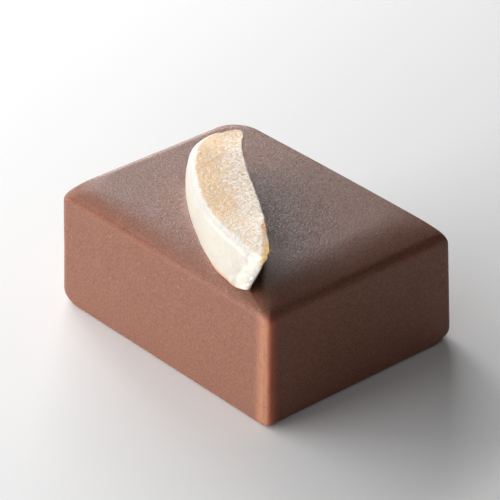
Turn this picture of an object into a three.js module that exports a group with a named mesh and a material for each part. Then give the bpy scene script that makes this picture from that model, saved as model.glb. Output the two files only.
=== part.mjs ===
// A small rectangular filled chocolate, fully coated, with one lengthwise piece of peeled almond
// lying slantwise across its top. Lengths are in millimetres and +Z is up. The origin is the
// middle of the flat base, +X runs along the long side, and the two faces that meet at the near
// corner look towards -Y and +X.
import * as THREE from "three";

const { lerp, smoothstep, clamp, degToRad } = THREE.MathUtils;

// Coated block: overall size, and how the walls lean in as they rise.
const BLOCK_LENGTH = 30;
const BLOCK_WIDTH = 23.2;
const BLOCK_HEIGHT = 12.25;
const WALL_LEAN = { east: 0.15, north: 0.6, west: 0.15, south: 0.2 };

// Upright corners, each named by the two walls it joins. The coating pooled least at south-east.
const CORNER_RADIUS = { northEast: 0.9, northWest: 2.5, southWest: 1.5, southEast: 1.4 };

// The coating's soft shoulder: from a crease at the top of the walls it climbs to the level top.
const SHOULDER_DROP = 1.0;
const SHOULDER_WIDTH = { east: 3.7, north: 3.0, west: 3.0, south: 2.8 };
const SHOULDER_POWER = 2.2;
const TOP_CORNER_RADIUS = 3.2;
const CREASE_LENGTH = 0.35;
const BASE_ROUND = 0.3;

// How finely the block is faceted.
const CORNER_STEPS = 6;
const WALL_STEPS = 5;
const BASE_STEPS = 2;
const CREASE_STEPS = 3;
const SHOULDER_STEPS = 7;

// Almond piece: a split half cut lengthwise. Stations run along it from the blunt back end to the
// nose, and offsets run from the straight cut side out to the rounded skin side.
const ALMOND_AT = { x: 1.1, y: -1.6 };
const ALMOND_TURN_DEG = -35.5;
const ALMOND_BACK = -9.5;
const ALMOND_NOSE = 14.5;
const ALMOND_THICKNESS = 4.2;
const ALMOND_BACK_LOSS = 0.5;
const ALMOND_NOSE_LOSS = 0.85;
const ALMOND_RIM_WIDTH = 5.2;
const ALMOND_FOOT_WIDTH = 5.5;
const ALMOND_RIM_ROUND = 0.45;
const ALMOND_BULGE = 0.18;
const NOSE_OVERHANG = 1.2;
const BACK_OVERHANG = 0.4;
const HEEL_LIFT = 0.9;

// How finely the almond piece is faceted.
const ALMOND_STATIONS = 26;
const FLANK_STEPS = 5;
const RIM_STEPS = 3;
const FACE_STEPS = 4;
const CUT_STEPS = 3;

// Closed body through a stack of rings with equal point counts, each end shut by a fan.
function loftGeometry(rings) {
  const around = rings[0].length;
  const points = rings.flat();
  const faces = [];
  for (let level = 0; level < rings.length - 1; level += 1) {
    for (let step = 0; step < around; step += 1) {
      const a = level * around + step;
      const b = level * around + ((step + 1) % around);
      faces.push(a, b, b + around, a, b + around, a + around);
    }
  }
  const lowCentre = points.length;
  points.push(ringCentre(rings[0]));
  const highCentre = points.length;
  points.push(ringCentre(rings[rings.length - 1]));
  const lastStart = (rings.length - 1) * around;
  for (let step = 0; step < around; step += 1) {
    const next = (step + 1) % around;
    faces.push(lowCentre, next, step);
    faces.push(highCentre, lastStart + step, lastStart + next);
  }
  const geometry = new THREE.BufferGeometry().setFromPoints(points);
  geometry.setIndex(faces);
  geometry.computeVertexNormals();
  return geometry;
}

function ringCentre(ring) {
  const sum = ring.reduce((total, point) => total.add(point), new THREE.Vector3());
  return sum.divideScalar(ring.length);
}

// One level outline of the block: a rectangle with four round corners. "inset" moves all sides in,
// and "shoulder" runs from 0 at the crease to 1 at the edge of the level top.
function blockRing({ height, inset, shoulder }) {
  const rise = Math.max(height - BASE_ROUND, 0) / (BLOCK_HEIGHT - BASE_ROUND);
  const reach = (half, side) =>
    half - inset - WALL_LEAN[side] * rise - SHOULDER_WIDTH[side] * shoulder;
  const east = reach(BLOCK_LENGTH / 2, "east");
  const west = -reach(BLOCK_LENGTH / 2, "west");
  const north = reach(BLOCK_WIDTH / 2, "north");
  const south = -reach(BLOCK_WIDTH / 2, "south");
  const radius = (corner) => lerp(CORNER_RADIUS[corner], TOP_CORNER_RADIUS, shoulder);
  const corners = [
    { x: east, y: north, r: radius("northEast"), start: 0 },
    { x: west, y: north, r: radius("northWest"), start: 90 },
    { x: west, y: south, r: radius("southWest"), start: 180 },
    { x: east, y: south, r: radius("southEast"), start: 270 },
  ];
  const outline = new THREE.Path();
  for (const { x, y, r, start } of corners) {
    const centreX = x - Math.sign(x) * r;
    const centreY = y - Math.sign(y) * r;
    outline.absarc(centreX, centreY, r, degToRad(start), degToRad(start + 90), false);
  }
  outline.closePath();
  const ring = [];
  for (const piece of outline.curves) {
    const steps = piece.isLineCurve ? WALL_STEPS : CORNER_STEPS;
    for (const { x, y } of piece.getPoints(steps).slice(0, -1)) {
      ring.push(new THREE.Vector3(x, y, height));
    }
  }
  return ring;
}

// Levels of the block from its base to the edge of its level top.
function blockLevels() {
  const levels = [];
  for (let step = 0; step <= BASE_STEPS; step += 1) {
    const angle = (step / BASE_STEPS) * (Math.PI / 2);
    const height = BASE_ROUND * (1 - Math.cos(angle));
    levels.push({ height, inset: BASE_ROUND * (1 - Math.sin(angle)), shoulder: 0 });
  }
  const shoulderHeight = (share) =>
    BLOCK_HEIGHT - SHOULDER_DROP * (1 - share) ** SHOULDER_POWER;
  const creaseShare = CREASE_LENGTH / SHOULDER_WIDTH.west;
  const crease = new THREE.QuadraticBezierCurve(
    new THREE.Vector2(0, shoulderHeight(0) - CREASE_LENGTH),
    new THREE.Vector2(0, shoulderHeight(0)),
    new THREE.Vector2(creaseShare, shoulderHeight(creaseShare)),
  );
  for (const { x, y } of crease.getPoints(CREASE_STEPS)) {
    levels.push({ height: y, inset: 0, shoulder: x });
  }
  for (let step = 1; step <= SHOULDER_STEPS; step += 1) {
    const share = lerp(creaseShare, 1, step / SHOULDER_STEPS);
    levels.push({ height: shoulderHeight(share), inset: 0, shoulder: share });
  }
  return levels;
}

// Blunt rounding of an end: 1 along the body, falling to 0 over the last "length" millimetres.
function endClosing(distance, length) {
  const share = clamp(1 - distance / length, 0, 1);
  return Math.sqrt(1 - share * share);
}

// Offset of the rounded side. The blunt back is a superellipse and the front narrows to the nose.
function skinSide(station, width, middle, frontLength, frontPower, nosePower) {
  if (station < middle) {
    const back = Math.min((middle - station) / (middle - ALMOND_BACK), 1);
    return width * (1 - back ** 2.7) ** (1 / 2.7);
  }
  return width * (1 - ((station - middle) / frontLength) ** frontPower) ** nosePower;
}

// One cross-section of the almond piece: up the rounded side, over the rim, across the flat face
// and down the cut side. The nose is cut back at its foot, so its face overhangs, and the heel
// curves up off the chocolate.
function almondSection(station) {
  const thickness =
    ALMOND_THICKNESS -
    ALMOND_BACK_LOSS * (1 - smoothstep(station, ALMOND_BACK, -4)) -
    ALMOND_NOSE_LOSS * smoothstep(station, 7, ALMOND_NOSE);
  const nose = smoothstep(station, 8, ALMOND_NOSE);
  const back = 1 - smoothstep(station, ALMOND_BACK, -6);
  const floor = HEEL_LIFT * (1 - smoothstep(station, ALMOND_BACK, -4));
  const rimOffset = skinSide(station, ALMOND_RIM_WIDTH, 1, 14, 2.3, 1);
  const footOffset = skinSide(station, ALMOND_FOOT_WIDTH, -1, 17, 2, 0.65);
  const hook = 0.45 * Math.exp(-(((station + 8) / 0.9) ** 2));
  const cutOffset = 0.12 - 0.7 * smoothstep(station, -3, 8) - hook;
  const cutFoot = cutOffset + 0.1 + 0.9 * smoothstep(station, 9.5, 15);
  const closing =
    endClosing(station - ALMOND_BACK, 0.7) * endClosing(ALMOND_NOSE - station, 0.9);

  const skinOffset = (height) => {
    const rise = height / thickness;
    const bulge = ALMOND_BULGE * Math.sin(Math.PI * rise);
    return lerp(footOffset, rimOffset, rise ** 1.3) + bulge;
  };
  const loop = [];
  const rimStart = thickness - ALMOND_RIM_ROUND;
  for (let step = 0; step < FLANK_STEPS; step += 1) {
    const height = lerp(floor, rimStart, step / FLANK_STEPS);
    loop.push({ offset: skinOffset(height), height });
  }
  for (let step = 0; step < RIM_STEPS; step += 1) {
    const angle = (step / RIM_STEPS) * (Math.PI / 2);
    const offset = skinOffset(rimStart) - ALMOND_RIM_ROUND * (1 - Math.cos(angle));
    loop.push({ offset, height: rimStart + ALMOND_RIM_ROUND * Math.sin(angle) });
  }
  for (let step = 0; step < FACE_STEPS; step += 1) {
    const rimEnd = skinOffset(rimStart) - ALMOND_RIM_ROUND;
    loop.push({ offset: lerp(rimEnd, cutOffset, step / FACE_STEPS), height: thickness });
  }
  for (let step = 0; step <= CUT_STEPS; step += 1) {
    const fall = step / CUT_STEPS;
    loop.push({
      offset: lerp(cutOffset, cutFoot, fall),
      height: lerp(thickness, floor, fall),
    });
  }
  return loop.map(({ offset, height }) => {
    const fall = 1 - height / thickness;
    const spine = station > 0 ? 0.05 + 1.3 * fall : 0.25;
    const along = station + fall * (BACK_OVERHANG * back - NOSE_OVERHANG * nose);
    return new THREE.Vector3(along, -lerp(spine, offset, closing), height);
  });
}

// Sections from the nose to the back, closer together towards both ends.
function almondSections() {
  const sections = [];
  for (let index = 1; index < ALMOND_STATIONS; index += 1) {
    const share = (1 - Math.cos((Math.PI * index) / ALMOND_STATIONS)) / 2;
    sections.push(almondSection(lerp(ALMOND_NOSE, ALMOND_BACK, share)));
  }
  return sections;
}

const chocolate = new THREE.Mesh(
  loftGeometry(blockLevels().map(blockRing)),
  new THREE.MeshStandardMaterial({ color: 0x6b4638, roughness: 0.45, metalness: 0 }),
);
chocolate.name = "chocolate";

const almond = new THREE.Mesh(
  loftGeometry(almondSections()),
  new THREE.MeshStandardMaterial({ color: 0xefdcbc, roughness: 0.6, metalness: 0 }),
);
almond.name = "almond_piece";
almond.position.set(ALMOND_AT.x, ALMOND_AT.y, BLOCK_HEIGHT);
almond.rotation.z = degToRad(ALMOND_TURN_DEG);

const group = new THREE.Group();
group.add(chocolate, almond);

export default group;
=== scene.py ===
"""Looks of a small coated chocolate with a piece of peeled almond lying slantwise across its top.

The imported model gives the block's size and the height that the almond lies at. The coated block and
the almond piece are each worked out as one fine closed surface that stands for its plain solid.
Shapes are computed in millimetres in the model's own frame, and become metres when the mesh is made.
"""

import logging
import math
from dataclasses import dataclass, field
from enum import Enum

import bpy
import numpy as np
from bpy.types import Material, Node, NodeSocket, Object
from mathutils import Matrix, Vector


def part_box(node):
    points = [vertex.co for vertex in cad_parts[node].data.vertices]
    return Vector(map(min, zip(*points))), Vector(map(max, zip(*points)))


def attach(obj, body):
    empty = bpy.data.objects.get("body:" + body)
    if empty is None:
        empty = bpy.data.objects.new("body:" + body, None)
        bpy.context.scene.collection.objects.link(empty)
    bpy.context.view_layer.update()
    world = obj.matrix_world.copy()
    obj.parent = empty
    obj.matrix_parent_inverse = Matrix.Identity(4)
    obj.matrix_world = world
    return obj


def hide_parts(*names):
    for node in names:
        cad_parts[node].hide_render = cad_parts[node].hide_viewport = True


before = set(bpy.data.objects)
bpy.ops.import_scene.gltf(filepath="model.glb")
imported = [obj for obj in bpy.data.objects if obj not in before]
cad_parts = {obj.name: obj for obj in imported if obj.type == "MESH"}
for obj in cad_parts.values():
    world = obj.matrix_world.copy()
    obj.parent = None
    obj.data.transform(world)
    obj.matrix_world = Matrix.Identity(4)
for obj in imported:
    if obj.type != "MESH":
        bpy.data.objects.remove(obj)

Pair = tuple[float, float]
Triple = tuple[float, float, float]

MM = 0.001
LOG = logging.getLogger("chocolate")


class Corner(Enum):
    """Upright corners of the block, with the direction in which each arc starts, in degrees."""

    NORTH_EAST = 0
    NORTH_WEST = 90
    SOUTH_WEST = 180
    SOUTH_EAST = 270


class Socket(Enum):
    """Inputs of the surface shader that the finishes set."""

    COLOR = "Base Color"
    ROUGHNESS = "Roughness"
    NORMAL = "Normal"
    IOR = "IOR"
    SUBSURFACE = "Subsurface Weight"
    SUBSURFACE_RADIUS = "Subsurface Radius"
    SUBSURFACE_SCALE = "Subsurface Scale"


# ---------------------------------------------------------------- shared surface functions


def smooth_step(low: float, high: float, value: np.ndarray) -> np.ndarray:
    """Ramp from 0 at low to 1 at high along the cubic 3t² - 2t³.

    Args:
        low: Value where the ramp starts.
        high: Value where it ends; it may be below low.
        value: Numbers to ramp.

    Returns:
        Array of numbers from 0 to 1.
    """
    share = np.clip((np.asarray(value, float) - low) / (high - low), 0.0, 1.0)
    return share * share * (3.0 - 2.0 * share)


def bump(value: np.ndarray, centre: float, spread: float) -> np.ndarray:
    """Bell curve exp(-((value - centre) / spread)²), 1 at its centre."""
    return np.exp(-(((value - centre) / spread) ** 2))


def value_noise(points: np.ndarray, cell: Triple, seed: int) -> np.ndarray:
    """Smooth random heights over space.

    A lattice of seeded random numbers is blended between its eight nearest corners, with the weight
    3t² - 2t³ along each axis.

    Args:
        points: Array (..., 3) of places.
        cell: Lattice spacing along each axis, in the unit of the places.
        seed: Seed of the random numbers.

    Returns:
        Array (...) of numbers from -1 to 1.
    """
    side = 32
    lattice = np.random.default_rng(seed).uniform(-1.0, 1.0, (side, side, side))
    scaled = points / np.asarray(cell)
    low = np.floor(scaled).astype(int)
    share = scaled - low
    share = share * share * (3.0 - 2.0 * share)
    total = np.zeros(points.shape[:-1])
    for corner in np.ndindex(2, 2, 2):
        place = (low + corner) % side
        weight = np.where(np.array(corner) == 1, share, 1.0 - share).prod(axis=-1)
        total += weight * lattice[place[..., 0], place[..., 1], place[..., 2]]
    return total


@dataclass(frozen=True)
class Layer:
    """One layer of random relief: its depth and lattice cell in millimetres, and its seed."""

    depth: float
    cell: Triple
    seed: int


def layered(points: np.ndarray, layers: tuple[Layer, ...]) -> np.ndarray:
    """Sum of layers, each its depth times value_noise."""
    return sum(layer.depth * value_noise(points, layer.cell, layer.seed) for layer in layers)


def distance_to_line(points: np.ndarray, line: np.ndarray) -> np.ndarray:
    """Level distance from each place to a polyline, as the least distance to its segments.

    Args:
        points: Array (n, 2).
        line: Array (m, 2) of the polyline's corners in order.

    Returns:
        Array (n) of distances.
    """
    start, step = line[:-1], np.diff(line, axis=0)
    to_point = points[:, None, :] - start[None, :, :]
    length = np.maximum((step * step).sum(-1), 1e-12)
    share = np.clip((to_point * step).sum(-1) / length, 0.0, 1.0)
    return np.linalg.norm(to_point - share[..., None] * step, axis=-1).min(axis=1)


def inside_outline(points: np.ndarray, line: np.ndarray) -> np.ndarray:
    """Tests places against a closed outline by counting the edges to their right.

    Args:
        points: Array (n, 2).
        line: Array (m, 2), whose last corner joins its first.

    Returns:
        Array (n) of booleans.
    """
    start, end = line, np.roll(line, -1, axis=0)
    x, y = points[:, None, 0], points[:, None, 1]
    spans = (start[:, 1] > y) != (end[:, 1] > y)
    rise = np.where(end[:, 1] == start[:, 1], 1.0, end[:, 1] - start[:, 1])
    crossing = start[:, 0] + (y - start[:, 1]) * (end[:, 0] - start[:, 0]) / rise
    return ((spans & (x < crossing)).sum(axis=1) % 2) == 1


def closed_grid(name: str, rows: np.ndarray, marks: dict[str, np.ndarray]) -> Object:
    """Makes a smooth closed piece from rings of points, each end shut by a fan to one pole.

    Args:
        name: Name of the piece.
        rows: Array (levels, around, 3) in millimetres. The first and last levels each hold one
            repeated point, the pole.
        marks: Point attributes by name, each an array (levels, around).

    Returns:
        The new object, at the origin.
    """
    levels, around = rows.shape[:2]
    inner = rows[1:-1].reshape(-1, 3)
    points = np.vstack([rows[0, :1], inner, rows[-1, :1]]) * MM
    step = np.arange(around)
    after = (step + 1) % around
    ring = 1 + around * np.arange(levels - 3)[:, None]
    quads = np.stack(
        [ring + step, ring + after, ring + around + after, ring + around + step], axis=-1
    ).reshape(-1, 4)
    last = 1 + around * (levels - 3)
    low_fan = np.stack([np.zeros(around, int), after + 1, step + 1], axis=-1)
    high_fan = np.stack([np.full(around, len(points) - 1), last + step, last + after], axis=-1)
    mesh = bpy.data.meshes.new(name)
    mesh.from_pydata(points.tolist(), [], low_fan.tolist() + quads.tolist() + high_fan.tolist())
    for mark, values in marks.items():
        flat = np.concatenate([values[0, :1], values[1:-1].ravel(), values[-1, :1]])
        layer = mesh.attributes.new(mark, "FLOAT", "POINT")
        layer.data.foreach_set("value", flat.astype(np.float32))
    mesh.polygons.foreach_set("use_smooth", np.ones(len(mesh.polygons), bool))
    mesh.update()
    piece = bpy.data.objects.new(name, mesh)
    bpy.context.scene.collection.objects.link(piece)
    return piece


# ---------------------------------------------------------------- finishes


class NodeSheet:
    """Small helper that adds shader nodes to one material and links them."""

    def __init__(self, name: str) -> None:
        """Starts a material with one surface shader.

        Args:
            name: Name of the material.
        """
        self.material = bpy.data.materials.new(name)
        self.material.use_nodes = True
        self.tree = self.material.node_tree
        self.shader = self.tree.nodes["Principled BSDF"]

    def add(self, kind: str, **settings: object) -> Node:
        """Adds a node.

        Args:
            kind: The node's Blender type.
            settings: Its properties by name.

        Returns:
            The new node.
        """
        node = self.tree.nodes.new(kind)
        for key, value in settings.items():
            setattr(node, key, value)
        return node

    def link(self, source: NodeSocket, target: NodeSocket) -> None:
        """Links an output to an input."""
        self.tree.links.new(source, target)

    def set(self, socket: Socket, value: object) -> None:
        """Sets a number or colour that is the same all over on the shader itself."""
        self.shader.inputs[socket.value].default_value = value

    def drive(self, socket: Socket, source: NodeSocket) -> None:
        """Links a pattern to one of the shader's inputs."""
        self.link(source, self.shader.inputs[socket.value])

    def places(self, stretch: Triple, turn: float = 0.0) -> NodeSocket:
        """Object coordinates in millimetres, turned about Z and stretched.

        Args:
            stretch: Scale along each axis after the turn.
            turn: Angle in radians that the pattern is turned back by.

        Returns:
            A vector output.
        """
        coordinates = self.add("ShaderNodeTexCoord")
        turned = self.add("ShaderNodeMapping")
        turned.inputs["Rotation"].default_value = (0.0, 0.0, -turn)
        scaled = self.add("ShaderNodeMapping")
        scaled.inputs["Scale"].default_value = tuple(each / MM for each in stretch)
        self.link(coordinates.outputs["Object"], turned.inputs["Vector"])
        self.link(turned.outputs["Vector"], scaled.inputs["Vector"])
        return scaled.outputs["Vector"]

    def noise(
        self, places: NodeSocket, scale: float, detail: float = 2.0, rough: float = 0.5, swirl: float = 0.0
    ) -> NodeSocket:
        """Fractal noise from 0 to 1.

        Args:
            places: Where to read it.
            scale: Waves for each millimetre.
            detail: Octaves.
            rough: Weight of each finer octave.
            swirl: How far the pattern is pulled about by itself.

        Returns:
            A number output.
        """
        node = self.add("ShaderNodeTexNoise")
        values = {"Scale": scale, "Detail": detail, "Roughness": rough, "Distortion": swirl}
        for name, value in values.items():
            node.inputs[name].default_value = value
        self.link(places, node.inputs["Vector"])
        return node.outputs["Fac"]

    def ramp(self, source: NodeSocket, low: float, high: float, to: Pair = (0.0, 1.0)) -> NodeSocket:
        """Smooth ramp of a number between two ends.

        Args:
            source: Number to ramp.
            low: Where the ramp starts.
            high: Where it ends.
            to: The two values it runs between.

        Returns:
            A number output.
        """
        node = self.add("ShaderNodeMapRange", interpolation_type="SMOOTHSTEP")
        for name, value in zip(("From Min", "From Max", "To Min", "To Max"), (low, high, *to)):
            node.inputs[name].default_value = value
        self.link(source, node.inputs["Value"])
        return node.outputs["Result"]

    def combine(self, operation: str, first: NodeSocket, second: NodeSocket | float) -> NodeSocket:
        """Arithmetic on two numbers, held between 0 and 1.

        Args:
            operation: The Math node's operation.
            first: A number output.
            second: Another, or a plain number.

        Returns:
            A number output.
        """
        node = self.add("ShaderNodeMath", operation=operation, use_clamp=True)
        self.link(first, node.inputs[0])
        if isinstance(second, (int, float)):
            node.inputs[1].default_value = second
        else:
            self.link(second, node.inputs[1])
        return node.outputs[0]

    def mix(self, share: NodeSocket, first: NodeSocket | Triple, second: NodeSocket | Triple) -> NodeSocket:
        """Mixes two colours.

        Args:
            share: Share of the second colour.
            first: Colour output or linear colour.
            second: Colour output or linear colour.

        Returns:
            A colour output.
        """
        node = self.add("ShaderNodeMix", data_type="RGBA")
        self.link(share, node.inputs["Factor"])
        for socket, value in ((node.inputs[6], first), (node.inputs[7], second)):
            if isinstance(value, tuple):
                socket.default_value = (*value, 1.0)
            else:
                self.link(value, socket)
        return node.outputs[2]

    def mark(self, name: str) -> NodeSocket:
        """Value of a point attribute of the piece."""
        return self.add("ShaderNodeAttribute", attribute_name=name).outputs["Fac"]

    def relief(self, layers: list[tuple[NodeSocket, float]]) -> None:
        """Chains bumps into the shader's normal.

        Args:
            layers: Height outputs, each with its depth in millimetres.
        """
        before = None
        for height, depth in layers:
            node = self.add("ShaderNodeBump")
            node.inputs["Strength"].default_value = 1.0
            node.inputs["Distance"].default_value = depth * MM
            self.link(height, node.inputs["Height"])
            if before is not None:
                self.link(before, node.inputs["Normal"])
            before = node.outputs["Normal"]
        self.drive(Socket.NORMAL, before)

    def let_light_in(self, ior: float, share: float, radius: Triple, reach: float) -> None:
        """Sets how light enters the surface and scatters below it.

        Args:
            ior: Index of refraction.
            share: Share of the light that scatters inside.
            radius: Relative reach of red, green and blue.
            reach: Greatest reach in millimetres.
        """
        self.set(Socket.IOR, ior)
        self.set(Socket.SUBSURFACE, share)
        self.set(Socket.SUBSURFACE_RADIUS, radius)
        self.set(Socket.SUBSURFACE_SCALE, reach * MM)


@dataclass(frozen=True)
class ChocolateFinish:
    """Satin milk chocolate: fine grain, a few pale and dark specks, a tan scuff on the near corner
    that is partly real wear and partly a painted highlight, and painted red shade.

    Scales are in waves for each millimetre, depths and reaches in millimetres, colours linear.
    """

    base: Triple = (0.172, 0.067, 0.039)
    deep: Triple = (0.157, 0.061, 0.035)
    grain: Triple = (0.228, 0.091, 0.054)
    # Tan of the near corner's scuff, which is partly a painted highlight.
    scuff_and_highlight: Triple = (0.38, 0.162, 0.088)
    # Colour of the painted red shade.
    painted_red_shade: Triple = (0.47, 0.135, 0.070)
    pale_speck: Triple = (0.36, 0.20, 0.14)
    dark_speck: Triple = (0.09, 0.035, 0.022)
    speck_strength: float = 0.6
    cloud_scale: float = 0.6
    grain_scale: float = 5.0
    grain_depth: float = 0.065
    swell_scale: float = 1.1
    swell_depth: float = 0.004
    pale_speck_scale: float = 3.1
    dark_speck_scale: float = 2.3
    scuff_scale: float = 1.6
    matt_scale: float = 5.6
    roughness: Pair = (0.44, 0.68)
    shoulder_matt: float = 0.25
    ior: float = 1.46
    scatter: float = 0.55
    scatter_radius: Triple = (1.0, 0.30, 0.15)
    scatter_reach: float = 0.8

    def material(self) -> Material:
        """Builds the material.

        Returns:
            A material that reads Object coordinates and the piece's attributes for the scuff and painted
            highlight, for the painted red shade and for the shoulder.
        """
        sheet = NodeSheet("milk_chocolate_coating")
        places = sheet.places((1.0, 1.0, 1.0))
        cloud = sheet.ramp(sheet.noise(places, self.cloud_scale, detail=3.0), 0.35, 0.65, to=(0.0, 0.4))
        grain = sheet.noise(places, self.grain_scale, rough=0.75)
        colour = sheet.mix(cloud, self.base, self.deep)
        colour = sheet.mix(sheet.ramp(grain, 0.62, 0.38), self.grain, colour)
        specks = (
            (self.pale_speck, self.pale_speck_scale, (0.80, 0.86)),
            (self.dark_speck, self.dark_speck_scale, (0.16, 0.11)),
        )
        for speck, scale, band in specks:
            dot = sheet.ramp(sheet.noise(places, scale, detail=0.0), *band, to=(0.0, self.speck_strength))
            colour = sheet.mix(dot, colour, speck)
        # Tan scuff on the near corner's lit half, in patches: partly real wear, partly a painted highlight.
        patches = sheet.noise(places, self.scuff_scale, detail=4.0, rough=0.65)
        patches = sheet.ramp(patches, 0.25, 0.55, to=(0.55, 1.0))
        colour = sheet.mix(sheet.combine("MULTIPLY", sheet.mark("scuff_and_highlight"), patches), colour, self.scuff_and_highlight)
        # Painted red shade: the near corner's dark half glows red, and the south shoulder is a little
        # redder.
        sheet.drive(Socket.COLOR, sheet.mix(sheet.mark("painted_red_shade"), colour, self.painted_red_shade))
        matt = sheet.ramp(sheet.noise(places, self.matt_scale, detail=1.0), 0.3, 0.7, to=self.roughness)
        on_shoulder = sheet.combine("MULTIPLY", sheet.mark("shoulder"), self.shoulder_matt)
        sheet.drive(Socket.ROUGHNESS, sheet.combine("ADD", matt, on_shoulder))
        sheet.relief([(sheet.noise(places, self.swell_scale), self.swell_depth), (grain, self.grain_depth)])
        sheet.let_light_in(self.ior, self.scatter, self.scatter_radius, self.scatter_reach)
        return sheet.material


@dataclass(frozen=True)
class AlmondFinish:
    """Peeled almond: cream skin side that is partly painted shade, toasted flat face with pale scrapes,
    and a broken white nose.

    Scales are in waves for each millimetre, depths and reaches in millimetres, colours linear.
    """

    # The cream is partly the skin side's own colour and partly painted shade: it is kept much darker than
    # the face's white to offset the strong light that the side lamps throw on the skin side.
    cream: Triple = (0.430, 0.400, 0.343)
    front_cream: Triple = (0.478, 0.446, 0.386)
    streak: Triple = (0.46, 0.39, 0.29)
    white: Triple = (0.97, 0.895, 0.81)
    flesh: Triple = (0.96, 0.92, 0.84)
    chalk: Triple = (0.42, 0.40, 0.37)
    front_chalk: Triple = (0.54, 0.515, 0.47)
    toast: Triple = (0.90, 0.575, 0.275)
    pale_toast: Triple = (0.735, 0.470, 0.262)
    fresh: Triple = (0.93, 0.70, 0.46)
    brown: Triple = (0.56, 0.26, 0.10)
    yellow: Triple = (0.80, 0.51, 0.22)
    thread_scale: float = 0.65
    thread_swirl: float = 2.2
    thread_band: Pair = (0.07, 0.035)
    fine_thread_scale: float = 1.2
    crumb_scale: float = 2.6
    dot_scale: float = 4.5
    fine_scale: float = 6.0
    blotch_scale: float = 0.9
    streak_scale: float = 0.8
    lump_scale: float = 3.0
    relief_depth: float = 0.014
    roughness: float = 0.6
    ior: float = 1.46
    scatter: float = 0.12
    scatter_radius: Triple = (1.0, 0.7, 0.4)
    scatter_reach: float = 0.5

    def material(self, turn: float) -> Material:
        """Builds the material.

        Args:
            turn: Direction of the almond piece's length, in radians from +X.

        Returns:
            A material that reads Object coordinates and the piece's attributes: face, rim, toast,
            front, nose, foot, brown and yellow.
        """
        sheet = NodeSheet("peeled_almond")
        even = sheet.places((1.0, 1.0, 1.0), turn)
        across = sheet.places((1.4, 1.0, 1.0), turn)
        threads = self.threads(sheet, across, self.thread_scale)
        fine = sheet.noise(even, self.fine_scale, detail=3.0, rough=0.65)
        on_face, front = sheet.mark("face"), sheet.mark("front")
        face = self.face_colour(sheet, even, across, threads, front)
        colour = sheet.mix(on_face, self.skin_colour(sheet, turn, front), face)
        edge = sheet.combine("ADD", sheet.mark("rim"), sheet.ramp(fine, 0.3, 0.7, to=(0.0, 0.5)))
        edge = sheet.combine("MULTIPLY", sheet.combine("SUBTRACT", edge, 0.5), 2.0)
        chalk = sheet.mix(front, self.chalk, self.front_chalk)
        colour = sheet.mix(edge, colour, sheet.mix(on_face, chalk, self.white))
        lumps = sheet.noise(even, self.lump_scale, detail=3.0, rough=0.6)
        broken = sheet.mix(sheet.ramp(lumps, 0.52, 0.72, to=(0.0, 0.6)), self.flesh, self.fresh)
        for mark, finish in (("nose", broken), ("brown", self.brown), ("yellow", self.yellow)):
            colour = sheet.mix(sheet.mark(mark), colour, finish)
        sheet.drive(Socket.COLOR, colour)
        sheet.relief([(threads, self.relief_depth), (fine, self.relief_depth)])
        sheet.set(Socket.ROUGHNESS, self.roughness)
        sheet.let_light_in(self.ior, self.scatter, self.scatter_radius, self.scatter_reach)
        return sheet.material

    def skin_colour(self, sheet: NodeSheet, turn: float, front: NodeSocket) -> NodeSocket:
        """Cream with long streaks, brown where it meets the chocolate.

        Args:
            sheet: Sheet to add the nodes to.
            turn: Direction of the piece's length.
            front: Mark of the front part.

        Returns:
            A colour output.
        """
        along = sheet.places((0.3, 2.2, 2.2), turn)
        streaks = sheet.ramp(sheet.noise(along, self.streak_scale, detail=3.0), 0.50, 0.75, to=(0.0, 0.5))
        skin = sheet.mix(streaks, sheet.mix(front, self.cream, self.front_cream), self.streak)
        return sheet.mix(sheet.mark("foot"), skin, self.brown)

    def face_colour(
        self, sheet: NodeSheet, even: NodeSocket, across: NodeSocket, threads: NodeSocket, front: NodeSocket
    ) -> NodeSocket:
        """Toasted ground with pale threads, crumbs and dots, which the toasting partly hides.

        Args:
            sheet: Sheet to add the nodes to.
            even: Coordinates without stretch.
            across: Coordinates squeezed along the piece.
            threads: Mark of the wide threads.
            front: Mark of the front part.

        Returns:
            A colour output.
        """
        blotches = sheet.ramp(sheet.noise(even, self.blotch_scale), 0.25, 0.6, to=(0.6, 1.0))
        toasting = sheet.combine("MULTIPLY", sheet.mark("toast"), blotches)
        ground = sheet.mix(toasting, self.pale_toast, self.toast)
        ground = sheet.mix(sheet.ramp(front, 0.3, 1.0), ground, self.fresh)
        fine_threads = sheet.combine("MULTIPLY", self.threads(sheet, across, self.fine_thread_scale), 0.8)
        crumbs = sheet.noise(across, self.crumb_scale, rough=0.7, swirl=0.8)
        crumbs = sheet.ramp(crumbs, 0.54, 0.70, to=(0.0, 0.5))
        dots = sheet.ramp(sheet.noise(even, self.dot_scale, rough=0.7), 0.54, 0.70, to=(0.0, 0.8))
        pale = sheet.combine("MAXIMUM", sheet.combine("MAXIMUM", threads, fine_threads), crumbs)
        pale = sheet.combine("SUBTRACT", pale, sheet.combine("MULTIPLY", toasting, 0.75))
        return sheet.mix(sheet.combine("MAXIMUM", pale, dots), ground, self.white)

    def threads(self, sheet: NodeSheet, places: NodeSocket, scale: float) -> NodeSocket:
        """Thin curly lines: where a swirled noise comes within a hair of its middle value.

        Args:
            sheet: Sheet to add the nodes to.
            places: Where to read the noise.
            scale: Waves for each millimetre.

        Returns:
            A number output, 1 on a line and 0 off it.
        """
        wave = sheet.noise(places, scale, detail=1.0, swirl=self.thread_swirl)
        below = sheet.add("ShaderNodeMath", operation="SUBTRACT")
        below.inputs[1].default_value = 0.5
        sheet.link(wave, below.inputs[0])
        from_middle = sheet.add("ShaderNodeMath", operation="ABSOLUTE")
        sheet.link(below.outputs[0], from_middle.inputs[0])
        return sheet.ramp(from_middle.outputs[0], *self.thread_band)


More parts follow.
